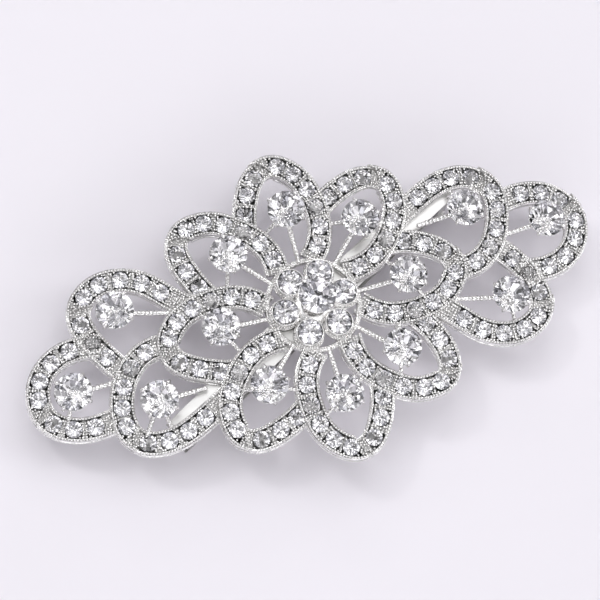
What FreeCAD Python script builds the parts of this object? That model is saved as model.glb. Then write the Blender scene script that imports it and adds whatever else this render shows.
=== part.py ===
import FreeCAD, Part
import math
import os
import Sketcher
from FreeCAD import Placement, Rotation, Vector

# Rhinestone hair clip: a jewelled flower spray on an automatic (French) barrette.
# Frame, in millimetres: X along the spray, Y across it, Z up out of the jewelled face.
# The origin is under the middle of the flower, level with the lever's lowest point.

SIZES = [
    # the gently domed sheet that the whole spray follows
    ("dome_radius", 320.0),
    ("band_thick", 1.6),
    ("band_width", 3.8),
    # the eight inner petals
    ("petal_step_deg", 45.0),
    ("petal_stone_ring", 15.1),
    # petal stones and the claw cups that carry them
    ("petal_stone_dia", 5.9),
    ("petal_stone_table_dia", 3.5),
    ("petal_stone_crown", 1.05),
    ("petal_stone_girdle", 0.15),
    ("petal_stone_pavilion", 2.3),
    ("petal_stone_culet_dia", 0.5),
    ("petal_stone_lift", 3.1),
    ("cup_foot_dia", 2.6),
    ("cup_rim_dia", 5.6),
    ("cup_foot_lift", 0.7),
    ("cup_rim_below_girdle", 0.3),
    ("claw_dia", 0.7),
    ("claw_reach", 0.55),
    ("claw_below_rim", 0.9),
    ("stalk_dia", 0.9),
    ("stalk_above_cup_foot", 0.3),
    ("leg_above_cup_foot", 0.7),
    # small stones set along the bands
    ("pave_dia", 2.7),
    ("pave_table_dia", 1.5),
    ("pave_crown", 0.45),
    ("pave_pavilion", 1.1),
    ("pave_culet_dia", 0.3),
    ("pave_girdle", 0.1),
    ("pave_sink", 0.1),
    ("seat_bore_height", 4.4),
    # rosette
    ("rosette_outer_dia", 15.2),
    ("rosette_ring_width", 1.2),
    ("rosette_disc_dia", 6.6),
    ("ring_stone_circle_dia", 9.6),
    ("ring_stone_turn_deg", 4.0),
    ("ring_stone_dia", 3.9),
    ("ring_stone_table_dia", 2.1),
    ("ring_stone_crown", 0.7),
    ("ring_stone_pavilion", 1.5),
    ("ring_stone_lift", 1.6),
    ("ring_cup_wall", 0.33),
    ("ring_cup_rim", 0.3),
    ("centre_stone_dia", 5.8),
    ("centre_stone_lift", 6.3),
    ("centre_post_dia", 2.6),
    ("centre_cup_height", 2.4),
    ("centre_post_below_girdle", 1.0),
    ("centre_claw_turn_deg", 30.0),
    # barrette
    ("clip_angle_deg", 27.5),
    ("clip_half_length", 29.0),
    ("plate_width", 5.0),
    ("plate_thick", 0.6),
    ("bow_thick", 0.4),
    ("bow_width", 3.6),
    ("bow_gap", 1.5),
    ("bow_reach", 21.0),
    ("hair_gap", 5.5),
    ("lever_thick", 0.7),
    ("lever_width", 4.4),
    ("lever_rise", 1.9),
    ("lever_eye_width", 2.3),
    ("eye_dia", 2.4),
    ("pin_dia", 1.2),
    ("pin_head_dia", 1.9),
    ("pin_head_thick", 0.35),
    ("pin_from_end", 2.0),
    ("lug_thick", 0.6),
    ("running_clearance", 0.04),
    ("side_clearance", 0.08),
    ("neck_length", 1.2),
    ("fork_past_neck", 0.4),
    ("bow_shoulder_from_pin", 4.0),
    ("prong_thick", 0.4),
    ("prong_width", 2.0),
    ("prong_from_end", 2.5),
    ("prong_inner_gap", 1.8),
    ("prong_past_lever", 0.9),
    ("window_length", 3.2),
    ("window_width", 3.1),
    ("lever_end_bar", 1.0),
    ("barb_drop", 0.8),
]

doc = FreeCAD.newDocument("rhinestone_hair_clip")
sheet = doc.addObject("Spreadsheet::Sheet", "Sizes")
for row, (alias, value) in enumerate(SIZES, start=1):
    sheet.set("A%d" % row, str(value))
    sheet.setAlias("A%d" % row, alias)
doc.recompute()


def size(alias):
    """A driving dimension, read from the sheet."""
    return float(sheet.get(alias))


# ---------------------------------------------------------------- heights and the dome

DOME = size("dome_radius")
BAND = size("band_thick")
# the stack under the middle of the flower adds up to the height of the bands' top face
CROWN_Z = (size("lever_thick") + size("hair_gap") + size("bow_thick") + size("bow_gap")
           + size("plate_thick") + BAND)
DOME_CENTRE = Vector(0, 0, CROWN_Z - DOME)
PLATE_UNDER = BAND + size("plate_thick")
FAR = 80.0  # larger than the whole clip, for shapes that are trimmed


def dome_height(radius_from_middle, depth):
    """Height of the dome, depth below the bands' top face."""
    return DOME_CENTRE.z + math.sqrt((DOME - depth) ** 2 - radius_from_middle ** 2)


def on_dome(x, y, lift, spin_deg=0.0):
    """Placement on the dome's normal, lift above the bands' top face, over the point x, y."""
    reach = DOME + lift
    normal = Vector(x / reach, y / reach, 0)
    normal.z = math.sqrt(1.0 - normal.x ** 2 - normal.y ** 2)
    turn = Rotation(Vector(0, 0, 1), normal).multiply(Rotation(Vector(0, 0, 1), spin_deg))
    return Placement(DOME_CENTRE + normal * reach, turn)


def dome_point(x, y, lift):
    return on_dome(x, y, lift).Base


def dome_shell(top_depth, bottom_depth):
    """Closed sheet between two depths below the bands' top face."""
    outer = Part.makeSphere(DOME - top_depth, DOME_CENTRE)
    inner = Part.makeSphere(DOME - bottom_depth, DOME_CENTRE)
    window = Part.makeBox(2 * FAR, 2 * FAR, 2 * FAR, Vector(-FAR, -FAR, -FAR / 2))
    return outer.common(window).cut(inner)


BAND_SHELL = dome_shell(0.0, BAND)

# ---------------------------------------------------------------- plan of the petals


def turned(point, angle_deg):
    angle = math.radians(angle_deg)
    x, y = point
    return (x * math.cos(angle) - y * math.sin(angle), x * math.sin(angle) + y * math.cos(angle))


# Middle line of an inner petal's band, as (out from the centre, to the left looking out).
# It leaves the rosette on the right-hand side, folds over at the tip, and comes back on
# the left to end on the next petal's band.
INNER_PETAL = [(7.0, -1.6), (8.5, -3.1), (11.0, -4.5), (14.0, -5.0), (17.0, -4.8), (19.8, -4.0),
               (22.0, -2.3), (23.2, -0.2), (22.9, 1.8), (21.2, 3.8), (18.7, 5.2), (16.0, 6.2),
               (13.6, 6.6)]
# The three petals of the right-hand end; the left-hand end is the same, turned half round.
TIP_PETAL = [(33.0, -3.2), (36.5, -3.8), (40.0, -3.3), (43.0, -1.2), (44.4, 1.8), (44.1, 5.0),
             (42.0, 7.3), (39.0, 8.5), (35.5, 8.6), (32.0, 8.0)]
LOWER_PETAL = [(19.0, -5.4), (21.6, -8.0), (24.0, -10.5), (27.0, -12.1), (30.0, -12.5),
               (33.0, -11.5), (34.9, -9.2), (34.9, -6.3), (33.9, -3.4), (32.2, -0.4), (30.5, 2.0)]
UPPER_PETAL = [(23.5, -0.5), (27.0, -0.1), (30.0, 1.9), (32.0, 5.0), (32.9, 8.5), (32.6, 11.0),
               (31.0, 13.0), (28.5, 13.9), (25.5, 13.8), (22.0, 12.6), (18.5, 10.9), (16.5, 9.8)]

# name: (middle line, turn, bands it is tucked against, stone, stalk foot, leg feet,
#        first small stone along the band, small-stone count, small-stone pitch)
PETALS = {}


def add_petal(name, line, turn, tucked_against, stone, stalk, legs, first, count, pitch):
    PETALS[name] = {
        "line": [turned(point, turn) for point in line],
        "against": tucked_against,
        "stone": turned(stone, turn),
        "turn": turn,
        "stalk": turned(stalk, turn),
        "legs": [turned(leg, turn) for leg in legs],
        "first": first,
        "count": count,
        "pitch": pitch,
    }


INNER_NAMES = ["right", "upper_right", "top", "upper_left", "left", "lower_left", "bottom",
               "lower_right"]
for index, name in enumerate(INNER_NAMES):
    add_petal(name, INNER_PETAL, index * size("petal_step_deg"),
              [INNER_NAMES[(index + 1) % len(INNER_NAMES)]],
              (size("petal_stone_ring"), 0.0), (7.2, 0.2), [(17.2, -3.6), (13.1, 3.6)],
              2.6, 9, 3.2)
for end, turn, lower, upper, side, near, far in [
        ("right_end", 0.0, "lower", "upper", "right", "upper_right", "lower_right"),
        ("left_end", 180.0, "upper", "lower", "left", "lower_left", "upper_left")]:
    add_petal(end + "_" + upper, UPPER_PETAL, turn, [side, near], (27.2, 8.0), (19.8, 7.8),
              [(30.4, 12.4), (26.2, 12.4)], 3.4, 9, 3.25)
    add_petal(end + "_" + lower, LOWER_PETAL, turn, [side, far, end + "_" + upper],
              (29.8, -7.2), (21.4, -5.0), [(29.6, -11.4)], 4.3, 8, 3.35)
    add_petal(end + "_tip", TIP_PETAL, turn, [end + "_" + upper, end + "_" + lower],
              (39.3, 3.1), (32.8, 2.9), [(41.0, 6.6)], 5.0, 7, 3.3)


def smooth_curve(points):
    curve = Part.BSplineCurve()
    curve.interpolate([Vector(x, y, 0) for x, y in points])
    return curve


def ribbon_prism(points):
    """Tall straight-sided strip of the band's width along a middle line."""
    curve = smooth_curve(points)
    half = size("band_width") / 2.0
    sides = []
    for side in (1, -1):
        row = []
        steps = 4 * (len(points) - 1)
        for step in range(steps + 1):
            place = curve.FirstParameter + (curve.LastParameter - curve.FirstParameter) * step / steps
            point = curve.value(place)
            along = curve.tangent(place)[0]
            row.append(point + Vector(-along.y, along.x, 0) * half * side)
        edge = Part.BSplineCurve()
        edge.interpolate(row)
        sides.append(edge)
    left, right = sides
    wire = Part.Wire([
        left.toShape(),
        Part.makeLine(left.value(left.LastParameter), right.value(right.LastParameter)),
        right.toShape(),
        Part.makeLine(right.value(right.FirstParameter), left.value(left.FirstParameter)),
    ])
    face = Part.Face(Part.Wire(Part.__sortEdges__(wire.Edges)))
    solid = face.extrude(Vector(0, 0, FAR))
    solid.translate(Vector(0, 0, -FAR / 2))
    return solid


def points_along(points, first, count, pitch):
    """Places on a middle line: the first at a distance from its start, then one pitch apart."""
    curve = smooth_curve(points)
    return [curve.value(curve.parameterAtDistance(first + pitch * step, curve.FirstParameter))
            for step in range(count)]


def largest_solid(shape):
    return max(shape.Solids, key=lambda solid: solid.Volume)


NODES = []


def keep(node):
    NODES.append(node)
    return node


def feature(label, shape, placement=None):
    """A sub-part whose shape is worked out from the sheet by this code."""
    node = doc.addObject("Part::Feature", label)
    node.Label = label
    node.Shape = shape
    if placement is not None:
        node.Placement = placement
    return keep(node)


# ---------------------------------------------------------------- stones


def cut_stone(label, girdle_dia, table_dia, crown, girdle, pavilion, culet_dia):
    """Round brilliant: flat table, sloping crown, thin girdle, pointed pavilion.

    Each argument after the label is a sheet expression. The girdle's top is at z = 0.
    """
    bottom = doc.addObject("Part::Cone", label + "_pavilion")
    bottom.setExpression("Radius1", culet_dia + " / 2")
    bottom.setExpression("Radius2", girdle_dia + " / 2")
    bottom.setExpression("Height", pavilion)
    bottom.setExpression(".Placement.Base.z", "-(%s) - (%s)" % (pavilion, girdle))
    belt = doc.addObject("Part::Cylinder", label + "_girdle")
    belt.setExpression("Radius", girdle_dia + " / 2")
    belt.setExpression("Height", girdle)
    belt.setExpression(".Placement.Base.z", "-(%s)" % girdle)
    top = doc.addObject("Part::Cone", label + "_crown")
    top.setExpression("Radius1", girdle_dia + " / 2")
    top.setExpression("Radius2", table_dia + " / 2")
    top.setExpression("Height", crown)
    stone = doc.addObject("Part::MultiFuse", label)
    stone.Label = label
    stone.Shapes = [bottom, belt, top]
    return stone


def large_stone(label, girdle_dia):
    return cut_stone(label, girdle_dia, "Sizes.petal_stone_table_dia", "Sizes.petal_stone_crown",
                     "Sizes.petal_stone_girdle", "Sizes.petal_stone_pavilion",
                     "Sizes.petal_stone_culet_dia")


for name, petal in PETALS.items():
    petal["stone_node"] = keep(large_stone(name + "_petal_stone", "Sizes.petal_stone_dia"))
centre_stone = keep(large_stone("centre_stone", "Sizes.centre_stone_dia"))
pave_pattern = cut_stone("pave_pattern", "Sizes.pave_dia", "Sizes.pave_table_dia",
                         "Sizes.pave_crown", "Sizes.pave_girdle", "Sizes.pave_pavilion",
                         "Sizes.pave_culet_dia")
ring_pattern = cut_stone("ring_pattern", "Sizes.ring_stone_dia", "Sizes.ring_stone_table_dia",
                         "Sizes.ring_stone_crown", "Sizes.pave_girdle",
                         "Sizes.ring_stone_pavilion", "Sizes.pave_culet_dia")
doc.recompute()

for petal in PETALS.values():
    petal["stone_node"].Placement = on_dome(*petal["stone"], size("petal_stone_lift"))
centre_stone.Placement = on_dome(0, 0, size("centre_stone_lift"))


def copies(shape, placements):
    shapes = []
    for placement in placements:
        copy = shape.copy()
        copy.Placement = placement
        shapes.append(copy)
    return shapes


def seat_tool(stone_shape, girdle_radius):
    """What a stone's seat removes: the stone itself and a bore over its girdle."""
    return stone_shape.fuse(Part.makeCylinder(girdle_radius, size("seat_bore_height")))


PAVE_SEAT = seat_tool(pave_pattern.Shape, size("pave_dia") / 2.0)
RING_SEAT = seat_tool(ring_pattern.Shape, size("ring_stone_dia") / 2.0)


# ---------------------------------------------------------------- rosette

ROSETTE_R = size("rosette_outer_dia") / 2.0
rosette_cylinder = Part.makeCylinder(ROSETTE_R, FAR, Vector(0, 0, -FAR / 2))
RING_STONES = 6
ring_angles = [step * 360.0 / RING_STONES + size("ring_stone_turn_deg")
               for step in range(RING_STONES)]
ring_places = [turned((size("ring_stone_circle_dia") / 2.0, 0.0), angle)
               for angle in ring_angles]
ring_seats = [on_dome(x, y, size("ring_stone_lift")) for x, y in ring_places]
ring_stones = copies(ring_pattern.Shape, ring_seats)

inner_rim = Part.makeCylinder(ROSETTE_R - size("rosette_ring_width"), FAR, Vector(0, 0, -FAR / 2))
disc = Part.makeCylinder(size("rosette_disc_dia") / 2.0, FAR, Vector(0, 0, -FAR / 2))
rosette = BAND_SHELL.common(rosette_cylinder.cut(inner_rim).fuse(disc))
cup_radius = size("ring_stone_dia") / 2.0 + size("ring_cup_wall")
cup_height = BAND + size("ring_stone_lift") + size("ring_cup_rim")
for (x, y), angle in zip(ring_places, ring_angles):
    cup = Part.makeCylinder(cup_radius, cup_height)
    # turned so that the cylinder's seam faces outwards, into the rim
    cup.Placement = on_dome(x, y, -BAND, angle)
    rosette = rosette.fuse(cup)
rosette = rosette.cut(Part.makeSphere(DOME - BAND, DOME_CENTRE))
rosette = rosette.cut(copies(RING_SEAT, ring_seats))
feature("rosette_base", rosette.removeSplitter())
feature("rosette_stones", Part.makeCompound(ring_stones))


CLAWS = 4


def claw_cup_shape(stone_radius, stone_lift, foot_lift, spin):
    """Open cup with four claws, in the stone's own frame before it is placed."""
    rim_z = -size("cup_rim_below_girdle")
    foot_z = foot_lift - stone_lift
    foot_r = size("cup_foot_dia") / 2.0
    rim_r = size("cup_rim_dia") / 2.0
    cup = Part.makeCone(foot_r, rim_r, rim_z - foot_z, Vector(0, 0, foot_z))
    claw_r = size("claw_dia") / 2.0
    bottom = rim_z - size("claw_below_rim")
    for step in range(CLAWS):
        x, y = turned((stone_radius, 0.0), spin + step * 360.0 / CLAWS)
        claw = Part.makeCylinder(claw_r, size("claw_reach") - bottom, Vector(x, y, bottom))
        tip = Part.makeSphere(claw_r, Vector(x, y, size("claw_reach")))
        cup = cup.fuse([claw, tip])
    return cup


def rod(start, end, diameter):
    along = end - start
    return Part.makeCylinder(diameter / 2.0, along.Length, start, along)


centre_cup = claw_cup_shape(size("centre_stone_dia") / 2.0, size("centre_stone_lift"),
                            size("centre_stone_lift") - size("centre_cup_height"),
                            size("centre_claw_turn_deg"))
centre_cup.Placement = on_dome(0, 0, size("centre_stone_lift"))
post = Part.makeCylinder(size("centre_post_dia") / 2.0,
                         size("centre_stone_lift") - size("centre_post_below_girdle"),
                         Vector(0, 0, CROWN_Z - BAND / 2))
centre_cup = centre_cup.fuse(post).cut([rosette, centre_stone.Shape] + ring_stones)
feature("centre_claw_cup", largest_solid(centre_cup).removeSplitter())

# ---------------------------------------------------------------- petal bands and cups

for petal in PETALS.values():
    petal["prism"] = ribbon_prism(petal["line"])
    petal["small"] = [on_dome(point.x, point.y, -size("pave_sink"))
                      for point in points_along(petal["line"], petal["first"], petal["count"],
                                                petal["pitch"])]

for name, petal in PETALS.items():
    band = BAND_SHELL.common(petal["prism"]).cut(rosette_cylinder)
    for other in petal["against"]:
        band = band.cut(PETALS[other]["prism"])
    petal["band"] = largest_solid(largest_solid(band).cut(copies(PAVE_SEAT, petal["small"])))
    feature(name + "_petal_band", petal["band"])

for group, names in [
        ("inner_small_stones", INNER_NAMES),
        ("right_end_small_stones", [name for name in PETALS if name.startswith("right_end")]),
        ("left_end_small_stones", [name for name in PETALS if name.startswith("left_end")])]:
    placements = [place for name in names for place in PETALS[name]["small"]]
    feature(group, Part.makeCompound(copies(pave_pattern.Shape, placements)))

neighbours = [rosette] + [petal["band"] for petal in PETALS.values()]
for petal in PETALS.values():
    neighbours += copies(pave_pattern.Shape, petal["small"])


def cut_clear(shape, others):
    """The shape less each of the others that its box meets."""
    for other in others:
        if shape.BoundBox.intersect(other.BoundBox):
            shape = shape.cut(other)
    return shape


for name, petal in PETALS.items():
    x, y = petal["stone"]
    cup = claw_cup_shape(size("petal_stone_dia") / 2.0, size("petal_stone_lift"),
                         size("cup_foot_lift"), 45.0)
    cup.Placement = on_dome(x, y, size("petal_stone_lift"), petal["turn"])
    stalk_top = dome_point(x, y, size("cup_foot_lift") + size("stalk_above_cup_foot"))
    leg_top = dome_point(x, y, size("cup_foot_lift") + size("leg_above_cup_foot"))
    rods = [rod(stalk_top, dome_point(*petal["stalk"], -BAND / 2), size("stalk_dia"))]
    for leg in petal["legs"]:
        rods.append(rod(leg_top, dome_point(*leg, -BAND / 3), size("stalk_dia")))
    legs = [largest_solid(cut_clear(leg, neighbours)) for leg in rods]
    setting = cup.fuse(legs).cut(petal["stone_node"].Shape)
    feature(name + "_claw_cup", largest_solid(setting))

# ---------------------------------------------------------------- barrette
# Its parts are drawn along X, with the hinge at +X, then turned to clip_angle_deg.

CLIP_TURN = Placement(Vector(), Rotation(Vector(0, 0, 1), size("clip_angle_deg")))
HALF = size("clip_half_length")
PIN_X = HALF - size("pin_from_end")
PIN_Z = size("lever_rise") + size("lever_thick") / 2.0
PIN_R = size("pin_dia") / 2.0
EYE_R = size("eye_dia") / 2.0
LUG_INNER = size("plate_width") / 2.0 - size("lug_thick")
PRONG_X = -(HALF - size("prong_from_end"))


def block(x0, x1, y0, y1, z0, z1):
    return Part.makeBox(x1 - x0, y1 - y0, z1 - z0, Vector(x0, y0, z0))


def across(radius, half_width, x, z):
    """Cylinder along Y, centred on the clip's middle line."""
    return Part.makeCylinder(radius, 2 * half_width, Vector(x, -half_width, z), Vector(0, 1, 0))


# base plate: a strip of the dome under the bands, with two lugs folded down for the pin
half_plate = size("plate_width") / 2.0
plate = dome_shell(BAND, PLATE_UNDER).common(
    block(-HALF, HALF, -half_plate, half_plate, 0, CROWN_Z))
for y in (LUG_INNER, -half_plate):
    lug = block(PIN_X - EYE_R, PIN_X + EYE_R, y, y + size("lug_thick"), PIN_Z,
                dome_height(PIN_X - EYE_R, BAND))
    ear = Part.makeCylinder(EYE_R, size("lug_thick"), Vector(PIN_X, y, PIN_Z), Vector(0, 1, 0))
    plate = plate.fuse([lug, ear])
plate = plate.cut(dome_shell(-FAR / 2, BAND)).cut(across(PIN_R, FAR / 4, PIN_X, PIN_Z))
feature("base_plate", plate.removeSplitter(), CLIP_TURN)


def origin_plane(body, role):
    return [item for item in body.Origin.OriginFeatures if item.Role == role][0]


def new_body(label):
    body = doc.addObject("PartDesign::Body", label + "_body")
    body.Label = label
    return body


def sketch_on(body, label, role):
    sketch = body.newObject("Sketcher::SketchObject", label)
    sketch.AttachmentSupport = (origin_plane(body, role), [""])
    sketch.MapMode = "FlatFace"
    return sketch


def bind(sketch, constraint, name, expression):
    """Add a named dimension to a sketch and drive it from the sheet."""
    index = sketch.addConstraint(constraint)
    sketch.renameConstraint(index, name)
    sketch.setExpression("Constraints." + name, expression)


# hinge pin: a plain rod with a riveted head at each end
pin = new_body("hinge_pin")
profile = sketch_on(pin, "pin_section", "XZ_Plane")
profile.addGeometry(Part.Circle(Vector(PIN_X, PIN_Z, 0), Vector(0, 0, 1), PIN_R), False)
bind(profile, Sketcher.Constraint("DistanceX", -1, 1, 0, 3, PIN_X), "along",
     "Sizes.clip_half_length - Sizes.pin_from_end")
bind(profile, Sketcher.Constraint("DistanceY", -1, 1, 0, 3, PIN_Z), "height",
     "Sizes.lever_rise + Sizes.lever_thick / 2")
bind(profile, Sketcher.Constraint("Radius", 0, PIN_R), "radius", "Sizes.pin_dia / 2")
rod_pad = pin.newObject("PartDesign::Pad", "pin_rod")
rod_pad.Profile = profile
rod_pad.SideType = "Symmetric"
rod_pad.setExpression("Length", "Sizes.plate_width")
doc.recompute()
for side, shift in (("front", "-Sizes.plate_width / 2 - Sizes.pin_head_thick / 2"),
                    ("back", "Sizes.plate_width / 2 + Sizes.pin_head_thick / 2")):
    head = sketch_on(pin, side + "_head_section", "XZ_Plane")
    head.setExpression(".AttachmentOffset.Base.z", shift)
    head.addGeometry(Part.Circle(Vector(PIN_X, PIN_Z, 0), Vector(0, 0, 1), PIN_R), False)
    bind(head, Sketcher.Constraint("DistanceX", -1, 1, 0, 3, PIN_X), "along",
         "Sizes.clip_half_length - Sizes.pin_from_end")
    bind(head, Sketcher.Constraint("DistanceY", -1, 1, 0, 3, PIN_Z), "height",
         "Sizes.lever_rise + Sizes.lever_thick / 2")
    bind(head, Sketcher.Constraint("Radius", 0, PIN_R), "radius", "Sizes.pin_head_dia / 2")
    head_pad = pin.newObject("PartDesign::Pad", side + "_head")
    head_pad.Profile = head
    head_pad.SideType = "Symmetric"
    head_pad.setExpression("Length", "Sizes.pin_head_thick")
    doc.recompute()
pin.Placement = CLIP_TURN
keep(pin)

# lever arm: a shallow arc of strip, narrowed and rolled into an eye round the pin, with a
# window at the free end that drops over the two prongs
lever_radius = (PIN_X ** 2 + size("lever_rise") ** 2) / (2.0 * size("lever_rise"))
lever_centre = Vector(0, 0, size("lever_thick") / 2.0 + lever_radius)
window_mid = PRONG_X
lever_end = window_mid - size("window_length") / 2.0 - size("lever_end_bar")
strip = Part.makeCylinder(lever_radius + size("lever_thick") / 2.0, size("lever_width"),
                          lever_centre - Vector(0, size("lever_width") / 2.0, 0), Vector(0, 1, 0))
strip = strip.cut(across(lever_radius - size("lever_thick") / 2.0, FAR / 4, 0, lever_centre.z))
half_lever = size("lever_width") / 2.0
half_eye = size("lever_eye_width") / 2.0
neck_x = PIN_X - EYE_R - size("neck_length")
strip = strip.common(block(lever_end, PIN_X, -half_lever, half_lever, -1, CROWN_Z))
for y in (half_eye, -half_lever):
    strip = strip.cut(block(neck_x, FAR, y, y + half_lever - half_eye, -1, CROWN_Z))
lever = strip.fuse(across(EYE_R, half_eye, PIN_X, PIN_Z))
lever = lever.cut(across(PIN_R + size("running_clearance"), FAR / 4, PIN_X, PIN_Z))
half_window = size("window_width") / 2.0
lever = lever.cut(block(window_mid - size("window_length") / 2.0,
                        window_mid + size("window_length") / 2.0, -half_window, half_window,
                        -1, CROWN_Z))
feature("lever_arm", largest_solid(lever).removeSplitter(), CLIP_TURN)

# tension bow: a leaf spring on the same pin, arched over the hair gap
half_bow = size("bow_width") / 2.0
bow_top = CROWN_Z - PLATE_UNDER - size("bow_gap")
shoulder_x = PIN_X - size("bow_shoulder_from_pin")
shoulder = Vector(shoulder_x, 0, dome_height(shoulder_x, PLATE_UNDER) - size("bow_gap"))
middle = Vector(0, 0, bow_top)
free_end = Vector(-size("bow_reach"), 0,
                  dome_height(size("bow_reach"), PLATE_UNDER) - size("bow_gap"))
down = Vector(0, 0, -size("bow_thick"))
eye_top = Vector(PIN_X - EYE_R * 0.5, 0, PIN_Z + EYE_R * 0.5)
outline = Part.Wire([
    Part.Arc(free_end, middle, shoulder).toShape(),
    Part.makeLine(shoulder, eye_top),
    Part.makeLine(eye_top, eye_top + Vector(-size("bow_thick"), 0, -size("bow_thick"))),
    Part.makeLine(eye_top + Vector(-size("bow_thick"), 0, -size("bow_thick")), shoulder + down),
    Part.Arc(shoulder + down, middle + down, free_end + down).toShape(),
    Part.makeLine(free_end + down, free_end),
])
bow = Part.Face(outline).extrude(Vector(0, size("bow_width"), 0))
bow.translate(Vector(0, -half_bow, 0))
bow = bow.fuse(across(EYE_R, half_bow, PIN_X, PIN_Z))
fork_y = half_eye + size("side_clearance")
bow = bow.cut(block(neck_x - size("fork_past_neck"), FAR, -fork_y, fork_y, -1, CROWN_Z))
bow = bow.cut(across(PIN_R + size("running_clearance"), FAR / 4, PIN_X, PIN_Z))
feature("tension_bow", bow.removeSplitter(), CLIP_TURN)

# the two springy prongs of the catch, which snap through the lever's window
prong_top = dome_height(-PRONG_X + size("prong_width") / 2.0, PLATE_UNDER)
prong_r = size("prong_thick") / 2.0
prong_mid = size("prong_inner_gap") / 2.0 + prong_r
root_z = prong_top - prong_r - size("side_clearance")
lever_under = PIN_Z - size("lever_thick") / 2.0
barb_reach = half_window - size("side_clearance") - prong_mid
for label, side in (("front_prong", -1), ("back_prong", 1)):
    blade = Part.makeBox(size("prong_width"), size("prong_thick"),
                         root_z - lever_under + size("prong_past_lever"),
                         Vector(PRONG_X - size("prong_width") / 2.0, side * prong_mid - prong_r,
                                lever_under - size("prong_past_lever")))
    root = Part.makeCylinder(prong_r, size("prong_width"),
                             Vector(PRONG_X - size("prong_width") / 2.0, side * prong_mid, root_z),
                             Vector(1, 0, 0))
    barb_top = lever_under - size("side_clearance")
    corners = [Vector(0, side * prong_mid, barb_top),
               Vector(0, side * (prong_mid + barb_reach), barb_top),
               Vector(0, side * prong_mid, barb_top - size("barb_drop"))]
    barb = Part.Face(Part.makePolygon(corners + [corners[0]])).extrude(
        Vector(size("prong_width"), 0, 0))
    barb.translate(Vector(PRONG_X - size("prong_width") / 2.0, 0, 0))
    feature(label, blade.fuse([root, barb]).removeSplitter(), CLIP_TURN)

# ---------------------------------------------------------------- checks and files

doc.recompute()
for item in doc.Objects:
    if "Invalid" in item.State or "Error" in item.State:
        raise RuntimeError("%s did not compute: %s" % (item.Label, item.State))
os.makedirs("parts", exist_ok=True)
for node in NODES:
    if node.Shape.isNull() or not node.Shape.isValid():
        raise RuntimeError(node.Label + " has no valid shape")
for node in NODES:
    node.Shape.exportStep("parts/%s.step" % node.Label)
    box = node.Shape.BoundBox
    print("%-32s solids %3d  volume %9.3f  z %6.2f to %6.2f"
          % (node.Label, len(node.Shape.Solids), node.Shape.Volume, box.ZMin, box.ZMax))
print("nodes:", len(NODES))
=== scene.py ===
# %% [markdown]
# # A rhinestone hair clip
# This lesson dresses a working barrette: fourteen folded ribbons of silver-coloured metal set
# with small stones, fifteen large stones in claw cups, and the sprung clip underneath.
# The CAD frame holds the parts to be dressed, so the first step is to load it.

# %% Load the fixed frame
import math

import bmesh
import bpy
import numpy as np
from mathutils import Euler, Matrix, Vector


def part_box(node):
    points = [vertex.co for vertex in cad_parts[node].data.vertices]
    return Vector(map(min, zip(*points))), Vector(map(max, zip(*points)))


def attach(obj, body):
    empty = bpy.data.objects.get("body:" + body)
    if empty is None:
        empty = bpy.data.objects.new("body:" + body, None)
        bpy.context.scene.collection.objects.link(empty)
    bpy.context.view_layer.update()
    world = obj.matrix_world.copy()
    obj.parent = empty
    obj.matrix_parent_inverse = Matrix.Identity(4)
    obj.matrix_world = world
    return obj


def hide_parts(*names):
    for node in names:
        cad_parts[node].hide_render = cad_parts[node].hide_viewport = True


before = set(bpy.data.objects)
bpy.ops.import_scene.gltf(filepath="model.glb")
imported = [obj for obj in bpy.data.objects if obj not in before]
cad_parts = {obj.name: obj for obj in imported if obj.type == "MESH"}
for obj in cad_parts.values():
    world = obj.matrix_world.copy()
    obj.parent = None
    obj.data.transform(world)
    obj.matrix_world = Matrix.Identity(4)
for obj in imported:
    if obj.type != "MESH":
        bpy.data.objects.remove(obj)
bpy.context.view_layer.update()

MM = 0.001

# %% [markdown]
# ## The dome that the flower follows
# The spray isn't flat: it bows gently, like the head that it sits on. Every band and stone is
# placed on one large sphere, and a helper turns a plan position and a lift into a point.

# %% Place things on the dome
DOME_RADIUS = 320.0
BAND_THICK = 1.6
BAND_HALF = 1.9
CROWN_Z = 10.3
DOME_CENTRE_Z = CROWN_Z - DOME_RADIUS


def dome_normal(x, y, lift=0.0):
    """Unit vector away from the dome's centre over a plan position, in millimetres."""
    reach = DOME_RADIUS + lift
    nx, ny = x / reach, y / reach
    return np.array([nx, ny, math.sqrt(1.0 - nx * nx - ny * ny)])


def dome_point(x, y, lift=0.0):
    return dome_normal(x, y, lift) * (DOME_RADIUS + lift) + np.array([0, 0, DOME_CENTRE_Z])


def dome_frame(x, y, lift=0.0, spin=0.0):
    """Matrix, in metres, that stands a shape drawn about its own Z on the dome."""
    turn = Vector((0, 0, 1)).rotation_difference(Vector(dome_normal(x, y, lift))).to_matrix()
    turn = turn @ Matrix.Rotation(math.radians(spin), 3, "Z")
    return Matrix.Translation(Vector(dome_point(x, y, lift)) * MM) @ turn.to_4x4()


lowest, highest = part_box("rosette_base")
print("rosette spans %.1f to %.1f mm, dome crown at %.1f mm"
      % (lowest.z / MM, highest.z / MM, CROWN_Z))

# %% [markdown]
# ## The plan of the petals
# Each petal is one ribbon. Looking outwards, it leaves the middle on the right, folds over at
# the tip, and comes back on the left to tuck under its neighbour. A few points give its middle
# line, and a smooth spline joins them. The two ends of the spray are the same three petals,
# turned half round, so they are written once. "fold" says how far along the line the crease
# starts on the inner edge, and where it ends on the outer edge.

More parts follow.
